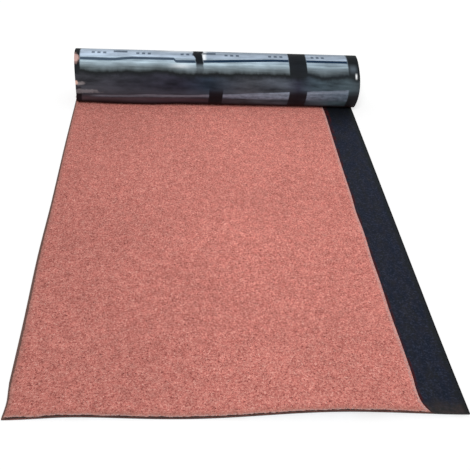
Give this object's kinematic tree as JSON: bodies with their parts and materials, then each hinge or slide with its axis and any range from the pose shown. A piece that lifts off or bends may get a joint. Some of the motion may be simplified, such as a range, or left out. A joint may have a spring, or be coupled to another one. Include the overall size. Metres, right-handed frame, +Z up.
{
  "type": "roll of roofing felt",
  "caption": "Roll of mineral-surfaced roofing felt, partly unrolled on the floor, with a bare lap strip along its right edge and a waved free end.",
  "frame": {"origin": "on the floor, at the middle of the felt's width and of its overall length", "axes": "+X across the sheet to the edge with the bare lap strip, +Y from the free end to the roll, +Z up from the floor"},
  "size_m": [1, 1.6123, 0.185],
  "materials": {
    "bitumen_felt": "matte"
  },
  "bodies": {
    "root": {"roofing_felt": "bitumen_felt"}
  },
  "joints": []
}
